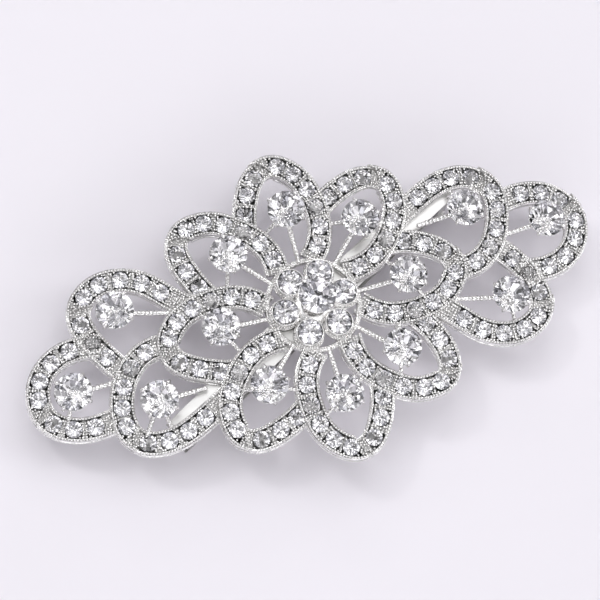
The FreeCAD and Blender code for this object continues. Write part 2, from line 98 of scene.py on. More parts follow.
# %% Name the petals
INNER_LINE = [(7.0, -1.6), (8.5, -3.1), (11.0, -4.5), (14.0, -5.0), (17.0, -4.8), (19.8, -4.0),
              (22.0, -2.3), (23.2, -0.2), (22.9, 1.8), (21.2, 3.8), (18.7, 5.2), (16.0, 6.2),
              (13.6, 6.6)]
TIP_LINE = [(33.0, -3.2), (36.5, -3.8), (40.0, -3.3), (43.0, -1.2), (44.4, 1.8), (44.1, 5.0),
            (42.0, 7.3), (39.0, 8.5), (35.5, 8.6), (32.0, 8.0)]
LOWER_LINE = [(19.0, -5.4), (21.6, -8.0), (24.0, -10.5), (27.0, -12.1), (30.0, -12.5),
              (33.0, -11.5), (34.9, -9.2), (34.9, -6.3), (33.9, -3.4), (32.2, -0.4), (30.5, 2.0)]
UPPER_LINE = [(23.5, -0.5), (27.0, -0.1), (30.0, 1.9), (32.0, 5.0), (32.9, 8.5), (32.6, 11.0),
              (31.0, 13.0), (28.5, 13.9), (25.5, 13.8), (22.0, 12.6), (18.5, 10.9), (16.5, 9.8)]
INNER_NAMES = ["right", "upper_right", "top", "upper_left", "left", "lower_left", "bottom",
               "lower_right"]
PETALS = {}
SHIFT_BEFORE, SHIFT_AFTER = 0.3, 0.7
INNER_TAPER = 0.35


def spin_plan(point, degrees):
    a = math.radians(degrees)
    return np.array([point[0] * math.cos(a) - point[1] * math.sin(a),
                     point[0] * math.sin(a) + point[1] * math.cos(a)])


def part_at_fold(seats, fold, pitch):
    """Spread the stones a little on either side of the crease, where two strands cross."""
    crossing = sum(fold) / 2
    return [seat + SHIFT_AFTER if seat > crossing
            else seat - SHIFT_BEFORE * (seat > crossing - pitch)
            for seat in seats]


def plan_petal(name, line, turn, fold, stone, stalk, legs, first, count, pitch):
    seats = [first + pitch * step for step in range(count)]
    PETALS[name] = {
        "line": [spin_plan(point, turn) for point in line], "turn": turn, "fold": fold,
        "stone": spin_plan(stone, turn), "stalk": spin_plan(stalk, turn),
        "legs": [spin_plan(leg, turn) for leg in legs],
        "seats": part_at_fold(seats, fold, pitch),
        "taper": 0.0 if "_end_" in name else INNER_TAPER,
    }


for step, name in enumerate(INNER_NAMES):
    turn = 360.0 / len(INNER_NAMES) * step
    plan_petal(name, INNER_LINE, turn, (18.3, 21.7), (15.1, 0.0), (7.2, 0.2),
               [(17.2, -3.6), (13.1, 3.6)], 2.6, 9, 3.2)
for end, turn, lower, upper in [("right_end", 0.0, "lower", "upper"),
                                ("left_end", 180.0, "upper", "lower")]:
    plan_petal(end + "_" + upper, UPPER_LINE, turn, (16.3, 19.7), (27.2, 8.0), (19.8, 7.8),
               [(30.4, 12.4), (26.2, 12.4)], 3.4, 9, 3.25)
    plan_petal(end + "_" + lower, LOWER_LINE, turn, (17.6, 20.9), (29.8, -7.2), (21.4, -5.0),
               [(29.6, -11.4)], 4.3, 8, 3.35)
    plan_petal(end + "_tip", TIP_LINE, turn, (14.8, 18.2), (39.3, 3.1), (32.8, 2.9),
               [(41.0, 6.6)], 5.0, 7, 3.3)
print("petals:", ", ".join(PETALS))

# %% [markdown]
# ## Lines and lengths
# Stones and beads are set at even distances along a ribbon, so the ribbon's middle line must
# be measured by length, not by point number. A natural cubic spline gives a smooth curve, and
# a table of running length turns a distance into a place, with the direction to its left.

# %% Measure along a middle line


def cubic_through(points):
    """Natural cubic spline through plan points; returns a function of the knot length."""
    p = np.array(points, float)
    knots = np.concatenate([[0.0], np.cumsum(np.linalg.norm(np.diff(p, axis=0), axis=1))])
    gap = np.diff(knots)
    count = len(p)
    matrix = np.eye(count)
    target = np.zeros((count, 2))
    for i in range(1, count - 1):
        matrix[i, i - 1:i + 2] = gap[i - 1], 2 * (gap[i - 1] + gap[i]), gap[i]
        target[i] = 6 * ((p[i + 1] - p[i]) / gap[i] - (p[i] - p[i - 1]) / gap[i - 1])
    bend = np.linalg.solve(matrix, target)

    def curve(t):
        i = int(np.clip(np.searchsorted(knots, t) - 1, 0, count - 2))
        a, b = knots[i + 1] - t, t - knots[i]
        g = gap[i]
        return ((bend[i] * a ** 3 + bend[i + 1] * b ** 3) / (6 * g)
                + (p[i] / g - bend[i] * g / 6) * a + (p[i + 1] / g - bend[i + 1] * g / 6) * b)

    return curve, knots[-1]


class Ribbon:
    """A petal's middle line, read by the distance travelled along it."""

    def __init__(self, points):
        curve, last = cubic_through(points)
        self.places = np.array([curve(t) for t in np.linspace(0, last, 600)])
        steps = np.linalg.norm(np.diff(self.places, axis=0), axis=1)
        self.travel = np.concatenate([[0.0], np.cumsum(steps)])
        self.length = self.travel[-1]
        along = np.gradient(self.places, self.travel, axis=0)
        self.left = np.stack([-along[:, 1], along[:, 0]], axis=1)

    def at(self, travel, across=0.0):
        """Plan place at a distance along the line and an offset to its left."""
        read = [np.interp(travel, self.travel, row) for row in
                (self.places[:, 0], self.places[:, 1], self.left[:, 0], self.left[:, 1])]
        side = np.array(read[2:])
        side = side / np.linalg.norm(side)
        return np.array(read[:2]) + side * across


for petal in PETALS.values():
    petal["ribbon"] = Ribbon(petal["line"])
print("an inner ribbon is %.1f mm long" % PETALS["top"]["ribbon"].length)

# %% [markdown]
# ## Finishes
# Three finishes cover the clip: bright rhodium-coloured plate, clear glass over silver foil,
# and the duller nickelled steel of the spring parts. Plate on a casting is polished on the high
# edges and rougher in the hollows, and the hollows are also painted darker, as painted shade.
# Each ribbon carries a "recess" attribute, 0 on the rims and 1 in the channel,
# and the material turns it into painted shade in the colour and into roughness. Fine noise
# drives a bump for the cast skin.

# %% Build the metal finishes


def shader(name, **settings):
    """New material, with its nodes, its links and its Principled inputs, set as asked."""
    material = bpy.data.materials.new(name)
    material.use_nodes = True
    tree = material.node_tree
    body = tree.nodes["Principled BSDF"].inputs
    for key, value in settings.items():
        body[key.replace("_", " ")].default_value = value
    return material, tree.nodes, tree.links, body


def noise(nodes, links, scale, detail, stretch=(1, 1, 1), turn=0.0):
    """Noise on object coordinates, stretched and turned about Z."""
    place = nodes.new("ShaderNodeTexCoord")
    mapping = nodes.new("ShaderNodeMapping")
    mapping.inputs["Scale"].default_value = stretch
    mapping.inputs["Rotation"].default_value = (0, 0, turn)
    links.new(place.outputs["Object"], mapping.inputs["Vector"])
    texture = nodes.new("ShaderNodeTexNoise")
    texture.inputs["Scale"].default_value = scale
    texture.inputs["Detail"].default_value = detail
    links.new(mapping.outputs["Vector"], texture.inputs["Vector"])
    return texture.outputs["Fac"]


def remap(nodes, links, source, low, high, from_low=0.0, from_high=1.0):
    node = nodes.new("ShaderNodeMapRange")
    for key, value in (("From Min", from_low), ("From Max", from_high), ("To Min", low),
                       ("To Max", high)):
        node.inputs[key].default_value = value
    links.new(source, node.inputs["Value"])
    return node.outputs["Result"]


def blend_colours(nodes, links, factor, low, high):
    node = nodes.new("ShaderNodeMix")
    node.data_type = "RGBA"
    node.inputs["A"].default_value = (*low, 1)
    node.inputs["B"].default_value = (*high, 1)
    links.new(factor, node.inputs["Factor"])
    return node.outputs["Result"]


def bumped(nodes, links, height, strength, distance):
    node = nodes.new("ShaderNodeBump")
    node.inputs["Strength"].default_value = strength
    node.inputs["Distance"].default_value = distance
    links.new(height, node.inputs["Height"])
    return node.outputs["Normal"]


def sum_of(nodes, links, first, second):
    node = nodes.new("ShaderNodeMath")
    node.operation = "ADD"
    node.use_clamp = True
    links.new(first, node.inputs[0])
    links.new(second, node.inputs[1])
    return node.outputs[0]


def plated_metal(name, bright, dark, polish, skin_scale, skin_strength):
    """Plated casting: polished at recess 0, rougher with painted shade at 1."""
    material, nodes, links, body = shader(name, Metallic=1.0)
    hollow = nodes.new("ShaderNodeAttribute")
    hollow.attribute_name = "recess"
    patches = remap(nodes, links, noise(nodes, links, 1500, 4), -0.3, 0.4, 0.3, 0.7)
    # Painted shade: the recess mask blends the colour towards the dark tone; the noise patches add
    # random tone.
    shade = sum_of(nodes, links, hollow.outputs["Fac"], patches)
    links.new(blend_colours(nodes, links, shade, bright, dark), body["Base Color"])
    links.new(remap(nodes, links, shade, polish, polish + 0.2), body["Roughness"])
    skin = noise(nodes, links, skin_scale, 4)
    links.new(bumped(nodes, links, skin, skin_strength, 0.00006), body["Normal"])
    return material


RHODIUM = plated_metal("rhodium_plate", (0.95, 0.94, 0.93), (0.34, 0.335, 0.33),
                       0.14, 5000, 0.6)
POLISHED = plated_metal("polished_rhodium", (0.94, 0.93, 0.92), (0.5, 0.49, 0.48),
                        0.09, 3000, 0.15)


def brushed_steel(name, turn):
    """Nickelled strip, brushed along its length, with a few darker handling marks."""
    material, nodes, links, body = shader(name, Metallic=1.0)
    streaks = noise(nodes, links, 900, 5, (0.03, 1.0, 1.0), turn)
    marks = remap(nodes, links, noise(nodes, links, 160, 4), 0.0, 0.6, 0.45, 0.75)
    tone = blend_colours(nodes, links, marks, (0.66, 0.655, 0.64), (0.42, 0.41, 0.39))
    links.new(tone, body["Base Color"])
    links.new(remap(nodes, links, streaks, 0.2, 0.42), body["Roughness"])
    links.new(bumped(nodes, links, streaks, 0.5, 0.00005), body["Normal"])
    return material


CLIP_ANGLE = 27.5
STEEL = brushed_steel("spring_steel", math.radians(-CLIP_ANGLE))
print("metal finishes:", RHODIUM.name, POLISHED.name, STEEL.name)

# %% [markdown]
# ## Glass and foil
# A rhinestone is a small glass brilliant with silver foil behind it. Its sparkle is real
# optics: light bends in through the crown, bounces off the foiled facets below, and comes out
# somewhere else. So the crown gets clear glass, the pavilion below gets a mirror, and the
# path tracer does the rest. On top of that, some foil facets are painted darker at random, a
# painted reflection standing in for the dark and grey wedges that a cut stone shows.

# %% Build the stone finishes


def crystal_glass(name):
    material, nodes, links, body = shader(name, Transmission_Weight=1.0, IOR=1.56)
    smears = noise(nodes, links, 500, 3)
    links.new(remap(nodes, links, smears, 0.0, 0.006, 0.5, 0.8), body["Roughness"])
    tint = blend_colours(nodes, links, noise(nodes, links, 260, 2),
                         (0.97, 0.975, 1.0), (1.0, 0.985, 0.99))
    links.new(tint, body["Base Color"])
    return material


def silver_foil(name):
    material, nodes, links, body = shader(name, Metallic=1.0)
    tone = nodes.new("ShaderNodeAttribute")
    tone.attribute_name = "facet_tone"
    # Painted reflection: darker foil on some facets gives the dark and grey wedges of a cut stone.
    colour = blend_colours(nodes, links, tone.outputs["Fac"], (0.42, 0.42, 0.44),
                           (1.0, 0.995, 0.99))
    links.new(colour, body["Base Color"])
    links.new(remap(nodes, links, noise(nodes, links, 1500, 3), 0.02, 0.09),
              body["Roughness"])
    return material


CRYSTAL = crystal_glass("clear_crystal")
FOIL = silver_foil("silver_foil")
print("stone finishes:", CRYSTAL.name, FOIL.name)

# %% [markdown]
# ## Node trees for what repeats
# A jeweller repeats three things here: beads rolled along an edge, loose grains, and stones.
# Each is a small geometry-node tree that puts a shape on every point it is given. The tree
# ends by making the copies real and setting their material, so the result is plain mesh.

# %% Write the tree-building helpers


def linked(name, data):
    """New object in the scene."""
    thing = bpy.data.objects.new(name, data)
    bpy.context.scene.collection.objects.link(thing)
    return thing


def new_tree(name, numbers):
    """Empty tree with a geometry input and output, and one named input for each number."""
    tree = bpy.data.node_groups.new(name, "GeometryNodeTree")
    tree.interface.new_socket("Geometry", in_out="OUTPUT", socket_type="NodeSocketGeometry")
    tree.interface.new_socket("Geometry", in_out="INPUT", socket_type="NodeSocketGeometry")
    for label, kind, value in numbers:
        socket = tree.interface.new_socket(label, in_out="INPUT", socket_type="NodeSocket" + kind)
        if value is not None:
            socket.default_value = value
    return tree, tree.nodes.new("NodeGroupInput").outputs, tree.nodes.new("NodeGroupOutput")


def add(tree, kind, settings=None, **sources):
    """New node: settings are its properties, sources are values or links for its inputs."""
    node = tree.nodes.new(kind)
    for key, value in (settings or {}).items():
        setattr(node, key, value)
    for key, source in sources.items():
        socket = [s for s in node.inputs
                  if s.enabled and s.name.replace(" ", "_").lower() == key.lower()][0]
        if isinstance(source, bpy.types.NodeSocket):
            tree.links.new(source, socket)
        else:
            socket.default_value = source
    return node


def shown_output(node):
    """The first output that the node's settings leave switched on."""
    return [s for s in node.outputs if s.enabled][0]


def named(tree, name, data_type="FLOAT"):
    return shown_output(add(tree, "GeometryNodeInputNamedAttribute", {"data_type": data_type},
                            Name=name))


def end_in_metal(tree, shapes, material, result):
    """Make the copies real, smooth and plated, and hand them to the tree's output."""
    real = add(tree, "GeometryNodeRealizeInstances", Geometry=shapes)
    smooth = add(tree, "GeometryNodeSetShadeSmooth", Geometry=real.outputs["Geometry"])
    metal = add(tree, "GeometryNodeSetMaterial", Geometry=smooth.outputs[0], Material=material)
    tree.links.new(metal.outputs["Geometry"], result.inputs["Geometry"])


def run_tree(tree, mesh, values, name):
    """The plain mesh that a tree makes from a mesh."""
    carrier = linked(name, mesh)
    modifier = carrier.modifiers.new("tree", "NODES")
    for item in tree.interface.items_tree:
        if item.item_type == "SOCKET" and item.in_out == "INPUT" and item.name in values:
            values[item.identifier] = values[item.name]
    modifier.node_group = tree
    for identifier in [key for key in values if key.startswith("Socket_")]:
        modifier[identifier] = values[identifier]
    carrier.update_tag()
    depsgraph = bpy.context.evaluated_depsgraph_get()
    made = bpy.data.meshes.new_from_object(carrier.evaluated_get(depsgraph))
    bpy.data.objects.remove(carrier)
    made.name = name
    return made


def bead_tree():
    """Beads at an even pitch along every rail; the rail's size attribute sets their radius."""
    tree, given, result = new_tree("bead_row", [("Pitch", "Float", 0.0004), ("Seed", "Int", 1)])
    rail = add(tree, "GeometryNodeMeshToCurve", Mesh=given["Geometry"])
    even = add(tree, "GeometryNodeResampleCurve", {"mode": "LENGTH"},
               Curve=rail.outputs["Curve"], Length=given["Pitch"])
    bead = add(tree, "GeometryNodeMeshUVSphere", Segments=8, Rings=5, Radius=1.0)
    uneven = add(tree, "FunctionNodeRandomValue", {"data_type": "FLOAT"},
                 Min=0.9, Max=1.1, Seed=given["Seed"])
    scale = add(tree, "ShaderNodeMath", {"operation": "MULTIPLY"})
    tree.links.new(named(tree, "size"), scale.inputs[0])
    tree.links.new(shown_output(uneven), scale.inputs[1])
    turn = add(tree, "FunctionNodeRandomValue", {"data_type": "FLOAT_VECTOR"},
               Max=(6.28, 6.28, 6.28), Seed=given["Seed"])
    copies = add(tree, "GeometryNodeInstanceOnPoints", Points=even.outputs["Curve"],
                 Instance=bead.outputs["Mesh"], Scale=scale.outputs[0],
                 Rotation=shown_output(turn))
    end_in_metal(tree, copies.outputs["Instances"], RHODIUM, result)
    return tree


def wire_tree():
    """A round wire along every rail; the rail's size attribute sets its radius."""
    tree, given, result = new_tree("wire", [])
    rail = add(tree, "GeometryNodeMeshToCurve", Mesh=given["Geometry"])
    thick = add(tree, "GeometryNodeSetCurveRadius", Curve=rail.outputs["Curve"],
                Radius=named(tree, "size"))
    ring = add(tree, "GeometryNodeCurvePrimitiveCircle", Resolution=8, Radius=1.0)
    tube = add(tree, "GeometryNodeCurveToMesh", Curve=thick.outputs["Curve"],
               Profile_Curve=ring.outputs["Curve"], Fill_Caps=True)
    scale_input = [s for s in tube.inputs if s.name == "Scale"]
    if scale_input:
        tree.links.new(named(tree, "size"), scale_input[0])
    end_in_metal(tree, tube.outputs["Mesh"], POLISHED, result)
    return tree


def stone_tree():
    """A stone on every point, its table along the point's up attribute, spun at random."""
    tree, given, result = new_tree("set_stones", [("Stone", "Object", None), ("Seed", "Int", 1),
                                                  ("Tilt", "Float", 0.05)])
    stone = add(tree, "GeometryNodeObjectInfo", Object=given["Stone"], As_Instance=True)
    upright = add(tree, "FunctionNodeAlignRotationToVector", {"axis": "Z"},
                  Vector=named(tree, "up", "FLOAT_VECTOR"))
    spin = add(tree, "FunctionNodeRandomValue", {"data_type": "FLOAT"}, Max=6.283,
               Seed=given["Seed"])
    lean = add(tree, "FunctionNodeRandomValue", {"data_type": "FLOAT"}, Seed=given["Seed"],
               Max=given["Tilt"])
    wobble = add(tree, "ShaderNodeCombineXYZ")
    tree.links.new(shown_output(lean), wobble.inputs["X"])
    tree.links.new(shown_output(spin), wobble.inputs["Z"])
    twist = add(tree, "FunctionNodeEulerToRotation", Euler=wobble.outputs[0])
    turned = add(tree, "FunctionNodeRotateRotation", {"rotation_space": "LOCAL"},
                 Rotation=upright.outputs["Rotation"], Rotate_By=twist.outputs["Rotation"])
    copies = add(tree, "GeometryNodeInstanceOnPoints", Points=given["Geometry"],
                 Instance=stone.outputs["Geometry"], Rotation=turned.outputs["Rotation"],
                 Scale=named(tree, "size"))
    real = add(tree, "GeometryNodeRealizeInstances", Geometry=copies.outputs["Instances"])
    foil = named(tree, "foiled", "BOOLEAN")
    clear = add(tree, "FunctionNodeBooleanMath", {"operation": "NOT"})
    tree.links.new(foil, clear.inputs[0])
    back = add(tree, "GeometryNodeSetMaterial", Geometry=real.outputs["Geometry"],
               Selection=foil, Material=FOIL)
    front = add(tree, "GeometryNodeSetMaterial", Geometry=back.outputs["Geometry"],
                Selection=clear.outputs[0], Material=CRYSTAL)
    tree.links.new(front.outputs["Geometry"], result.inputs["Geometry"])
    return tree


BEADS, WIRES, STONES = bead_tree(), wire_tree(), stone_tree()
print("trees:", BEADS.name, WIRES.name, STONES.name)

# %% [markdown]
# ## Small mesh tools
# A rail is a string of points with a size, and a piece is several meshes joined into one. These
# helpers keep the steps below short. Joining keeps each part's materials and attributes.

# %% Write the mesh helpers


def store(mesh, name, values, kind="FLOAT", field="value"):
    mesh.attributes.new(name, kind, "POINT").data.foreach_set(field, values)


def rails_mesh(name, rails):
    """Edge strings from [(points in mm, radius in mm)]; the radius goes in as size."""
    places, edges, sizes = [], [], []
    for points, radius in rails:
        start = len(places)
        places += [Vector(p) * MM for p in points]
        edges += [(start + i, start + i + 1) for i in range(len(points) - 1)]
        sizes += list(np.broadcast_to(np.asarray(radius, float), len(points)) * MM)
    mesh = bpy.data.meshes.new(name)
    mesh.from_pydata(places, edges, [])
    store(mesh, "size", sizes)
    return mesh


def points_mesh(name, places):
    """Loose points from [(point in mm, up, scale)]."""
    mesh = bpy.data.meshes.new(name)
    mesh.from_pydata([Vector(p) * MM for p, _, _ in places], [], [])
    ups = np.array([up for _, up, _ in places], float).ravel()
    store(mesh, "up", ups, "FLOAT_VECTOR", "vector")
    store(mesh, "size", [scale for _, _, scale in places])
    return mesh


def beads(name, rails, pitch, seed=1):
    values = {"Pitch": pitch * MM, "Seed": seed}
    return run_tree(BEADS, rails_mesh(name, rails), values, name)


def wires(name, rails):
    return run_tree(WIRES, rails_mesh(name, rails), {}, name)


def outward(mesh):
    """Merge doubles and turn the faces of a closed mesh outwards."""
    work = bmesh.new()
    work.from_mesh(mesh)
    bmesh.ops.remove_doubles(work, verts=work.verts, dist=1e-7)
    bmesh.ops.dissolve_degenerate(work, edges=work.edges, dist=1e-7)
    bmesh.ops.recalc_face_normals(work, faces=work.faces)
    work.to_mesh(mesh)
    work.free()
    return mesh


def joined(name, meshes):
    """One object from several meshes."""
    parts = [linked(name, mesh) for mesh in meshes]
    if len(parts) > 1:
        with bpy.context.temp_override(active_object=parts[0], object=parts[0],
                                       selected_objects=parts,
                                       selected_editable_objects=parts):
            bpy.ops.object.join()
    parts[0].name = name
    parts[0].data.name = name
    return parts[0]


def lathe(name, profile, material, segments=32):
    """Closed turned shape from [(radius, height)] in mm, about Z."""
    work = bmesh.new()
    rings = []
    for radius, height in profile:
        if radius < 1e-6:
            rings.append([work.verts.new((0, 0, height * MM))])
        else:
            rings.append([work.verts.new((radius * MM * math.cos(2 * math.pi * i / segments),
                                          radius * MM * math.sin(2 * math.pi * i / segments),
                                          height * MM)) for i in range(segments)])
    for low, high in zip(rings, rings[1:]):
        for i in range(segments):
            j = (i + 1) % segments
            corners = [low[i % len(low)], low[j % len(low)], high[j % len(high)],
                       high[i % len(high)]]
            corners = list(dict.fromkeys(corners))
            if len(corners) > 2:
                work.faces.new(corners).smooth = True
    bmesh.ops.recalc_face_normals(work, faces=work.faces)
    mesh = bpy.data.meshes.new(name)
    work.to_mesh(mesh)
    work.free()
    mesh.materials.append(material)
    return mesh


def placed(mesh, matrix):
    copy = mesh.copy()
    copy.transform(matrix)
    return copy


print("helpers ready")

# %% [markdown]
# ## Cutting a stone
# A brilliant has a flat table, eight kite facets and sixteen small ones round the crown, and
# the same again below, down to the culet. Each kite is flat, so the height of its side corners
# follows from the plane through its two ends. Facets are shaded flat: the hard edges between
# them are what makes a stone look cut.

# %% Cut the brilliant


def brilliant(name, radius, table_share, crown, girdle, pavilion, seed):
    """Faceted stone, in mm, with its girdle's top at z = 0."""
    table = radius * table_share
    culet = radius * 0.05
    crown_side = table + 0.42 * (radius - table)
    below_side = radius * 0.34
    half_step = math.pi / 8

    def kite_height(side_radius, end_radius, rise):
        return rise * (radius - side_radius * math.cos(half_step)) / (radius - end_radius)

    work = bmesh.new()
    foiled = work.faces.layers.bool.new("foiled")
    tone = work.faces.layers.float.new("facet_tone")

    def ring(r, z, count, offset):
        return [work.verts.new((r * MM * math.cos(offset + 2 * math.pi * i / count),
                                r * MM * math.sin(offset + 2 * math.pi * i / count), z * MM))
                for i in range(count)]

    top = ring(table, crown, 8, 0)
    star = ring(crown_side, kite_height(crown_side, table, crown), 8, half_step)
    belt = ring(radius, 0, 16, 0)
    under = ring(radius, -girdle, 16, 0)
    low = ring(below_side, -girdle - kite_height(below_side, culet, pavilion), 8, half_step)
    tip = ring(culet, -girdle - pavilion, 8, 0)
    work.faces.new(top)
    for k in range(8):
        n = (k + 1) % 8
        work.faces.new((top[k], star[k], top[n]))
        work.faces.new((top[k], star[k - 1], belt[2 * k], star[k]))
        work.faces.new((star[k], belt[2 * k], belt[2 * k + 1]))
        work.faces.new((star[k], belt[2 * k + 1], belt[2 * n]))
    for k in range(16):
        work.faces.new((belt[k], under[k], under[(k + 1) % 16], belt[(k + 1) % 16]))
    backs = [work.faces.new(tip)]
    for k in range(8):
        n = (k + 1) % 8
        backs.append(work.faces.new((tip[k], low[k], under[2 * k], low[k - 1])))
        backs.append(work.faces.new((tip[k], tip[n], low[k])))
        backs.append(work.faces.new((low[k], under[2 * k + 1], under[2 * k])))
        backs.append(work.faces.new((low[k], under[2 * n], under[2 * k + 1])))
    bmesh.ops.recalc_face_normals(work, faces=work.faces)
    dice = np.random.default_rng(seed)
    # Painted reflection: each foil facet gets a dark, grey or bright tone at random.
    for face in backs:
        face[foiled] = True
        face[tone] = float(dice.choice([0.0, 0.6, 1.0], p=[0.25, 0.25, 0.5]))
    mesh = bpy.data.meshes.new(name)
    work.to_mesh(mesh)
    work.free()
    mesh.materials.append(CRYSTAL)
    return linked(name, mesh)


def set_stones(name, pattern, places, seed, tilt=0.05):
    mesh = run_tree(STONES, points_mesh(name, places),
                    {"Stone": pattern, "Seed": seed, "Tilt": tilt}, name)
    return joined(name, [mesh])


PAVE_RADIUS = 1.33
LARGE_RADIUS = 2.95
pave_pattern = brilliant("pave_pattern", PAVE_RADIUS, 0.56, 0.45, 0.08, 1.0, 3)
ring_pattern = brilliant("ring_pattern", 1.92, 0.55, 0.7, 0.1, 1.45, 5)
large_patterns = [brilliant("large_pattern_%d" % k, LARGE_RADIUS, 0.58, 1.05, 0.12, 2.1, 20 + k)
                  for k in range(4)]
print("facets on one stone:", len(pave_pattern.data.polygons))

# %% [markdown]
# ## The ribbon's section and its fold
# Cut across, a ribbon is a shallow channel: beaded rims, a sunk floor with a pit under each
# stone, a groove along each side wall and a hollow back. Modelling it as a section swept along
# the line keeps every edge crisp. At the fold the ribbon is two strands. The right-hand one
# lies on top and runs out to a point on the outer edge, and the left-hand one starts as a
# point on the inner edge just below it. All heights are against the rim.

# %% Sweep one strand
MID_FLOOR = -0.345
BACK_FLOOR = -1.36
FULL_SECTION_WIDTH = 2.4
CHANNEL_BOTTOM = -0.5
PIT_TOP = -0.15
PLAIN_SHARE = 0.25
STRAND_GAP = 0.5
# half of the section, from the hollow back to the channel floor: inset from the edge,
# height against the rim, and how deep in shadow the plating is
SECTION = [(0.60, BACK_FLOOR, 0.7), (0.42, -1.60, 0.2), (0.10, -1.60, 0.0), (0.00, -1.52, 0.0),
           (0.00, -1.08, 0.0), (0.10, -1.00, 0.7), (0.10, -0.62, 0.7), (0.00, -0.54, 0.0),
           (0.00, -0.13, 0.0), (0.05, -0.03, 0.0), (0.13, 0.00, 0.0), (0.19, -0.05, 0.3),
           (0.46, -0.10, 0.5), (0.54, -0.26, 1.0), (0.78, -0.34, 1.0)]
# floor heights under a stone: deep enough for the whole stone to stand clear
PIT = {-0.26: -0.34, -0.34: -0.62, MID_FLOOR: -1.29}
SEAT_REACH = 1.31
NARROWEST = 0.04


def smooth_step(value, start, end):
    t = min(1.0, max(0.0, (value - start) / (end - start)))
    return t * t * (3 - 2 * t)


def crease(petal, travel):
    """Offset of the fold line from the middle line, to the left."""
    start, end = petal["fold"]
    return BAND_HALF * (1 - 2 * smooth_step(travel, start, end))


def strand_top(petal, travel, strand):
    """How far a strand's rim stands above the dome."""
    start, end = petal["fold"]
    if strand == "over":
        rise = 0.5 * smooth_step(travel, start - 8, start)
        return rise * (1 - 0.7 * smooth_step(travel, start, end + 1))
    length = petal["ribbon"].length
    return (-0.6 * (1 - smooth_step(travel, start + 1, end + 4.5))
            - 0.5 * smooth_step(travel, length - 5, length - 1))


def strand_edges(petal, travel, strand):
    """Right and left offsets of a strand's edges."""
    if strand == "over":
        return -BAND_HALF, max(crease(petal, travel), NARROWEST - BAND_HALF)
    start = petal["fold"][0]
    left = BAND_HALF - petal["taper"] * (1 - smooth_step(travel, start + 1, start + 6))
    right = max(crease(petal, travel) - STRAND_GAP, -BAND_HALF)
    return min(right, left - NARROWEST), left


def which_strand(petal, travel):
    return "over" if travel < sum(petal["fold"]) / 2 else "under"


def plan_seats(petal):
    """Each small stone's distance along the ribbon, strand, offset, and share of full size."""
    for travel in petal["seats"]:
        strand = which_strand(petal, travel)
        right, left = strand_edges(petal, travel, strand)
        room = min(1.0, (left - right) / (2 * BAND_HALF) + 0.12)
        yield travel, strand, (right + left) / 2, room


def channel_depth(petal, travel, strand):
    """1 where the ribbon is sunk for stones, 0 on the plain metal at the tip."""
    start, end = petal["fold"]
    if strand == "over":
        return 1 - smooth_step(travel, end - 1.6, end - 0.4)
    return smooth_step(travel, start + 0.8, start + 1.8)


def sweep_strand(name, petal, strand, first, last, step=0.25):
    ribbon = petal["ribbon"]
    stations = list(np.linspace(first, last, int((last - first) / step) + 1))
    pits = [(travel - SEAT_REACH * room, travel + SEAT_REACH * room)
            for travel, side, _, room in plan_seats(petal) if side == strand]
    for pit in pits:
        stations += [pit[0] - 0.02, pit[0] + 0.02, pit[1] - 0.02, pit[1] + 0.02]
    stations = sorted({round(t, 4) for t in stations if first <= t <= last})
    rows, shades = [], []
    for travel in stations:
        pitted = any(low < travel < high for low, high in pits)
        right, left = strand_edges(petal, travel, strand)
        width = left - right
        squeeze = min(1.0, width / FULL_SECTION_WIDTH)
        top = strand_top(petal, travel, strand)
        depth = channel_depth(petal, travel, strand)
        row, shade = [], []
        half = [(inset * squeeze, height, dark) for inset, height, dark in SECTION]
        around = ([(right + i, h, d) for i, h, d in half]
                  + [(right + width / 2, MID_FLOOR, 1.0)]
                  + [(left - i, h, d) for i, h, d in reversed(half)]
                  + [((left + right) / 2, BACK_FLOOR, 0.7)])
        for across, height, dark in around:
            if pitted and CHANNEL_BOTTOM < height < PIT_TOP:
                height = PIT[height]
            elif height > CHANNEL_BOTTOM:
                height = height * (PLAIN_SHARE + (1 - PLAIN_SHARE) * depth)
                dark = dark * depth
            height = -BAND_THICK + (height + BAND_THICK) * (BAND_THICK + top) / BAND_THICK
            x, y = ribbon.at(travel, across)
            row.append(Vector(dome_point(x, y, height)) * MM)
            shade.append(dark)
        rows.append(row)
        shades += shade
    count = len(rows[0])
    faces = []
    for i in range(len(rows) - 1):
        for j in range(count):
            n = (j + 1) % count
            faces.append((i * count + j, i * count + n, (i + 1) * count + n, (i + 1) * count + j))
    faces.append(tuple(range(count)))
    faces.append(tuple(reversed(range((len(rows) - 1) * count, len(rows) * count))))
    mesh = bpy.data.meshes.new(name)
    mesh.from_pydata([p for row in rows for p in row], [], faces)
    # The third column of the section is painted shade: it darkens the channel, the side grooves
    # and the hollow back.
    store(mesh, "recess", shades)
    mesh.materials.append(RHODIUM)
    outward(mesh)
    mesh.polygons.foreach_set("use_smooth", [True] * len(mesh.polygons))
    mesh.set_sharp_from_angle(angle=math.radians(38))
    return mesh


# %% [markdown]
# ## Rims, beads and grains
# A row of rolled beads (milgrain) catches the light along each edge, and a row of slightly
# smaller ones marks the fold. Between the stones the setter raised small grains of metal.
# Rails and points are worked out here, and the node trees above turn them into metal.

# %% Lay the beads and set the petals
BEAD_INSET = 0.33
BEAD_RADIUS = 0.2
BEAD_PITCH = 0.46
FOLD_BEAD_INSET = 0.2
BACK_BEAD_RADIUS = 0.15
BACK_BEAD_DEPTH = 1.3
GRAIN_PITCH = 0.44
GRAIN_JITTER = 0.1
GRAIN_SINK = 0.2
STONE_SINK = 0.1
RING_RADIUS = 4.8
RING_TURN = 4.0
RING_STONES = 6
RING_ANGLES = [360.0 / RING_STONES * step + RING_TURN for step in range(RING_STONES)]
BEZEL_PLACES = [spin_plan((RING_RADIUS, 0.0), angle) for angle in RING_ANGLES]
ROSETTE_REACH = 6.5
BEZEL_REACH = 2.5


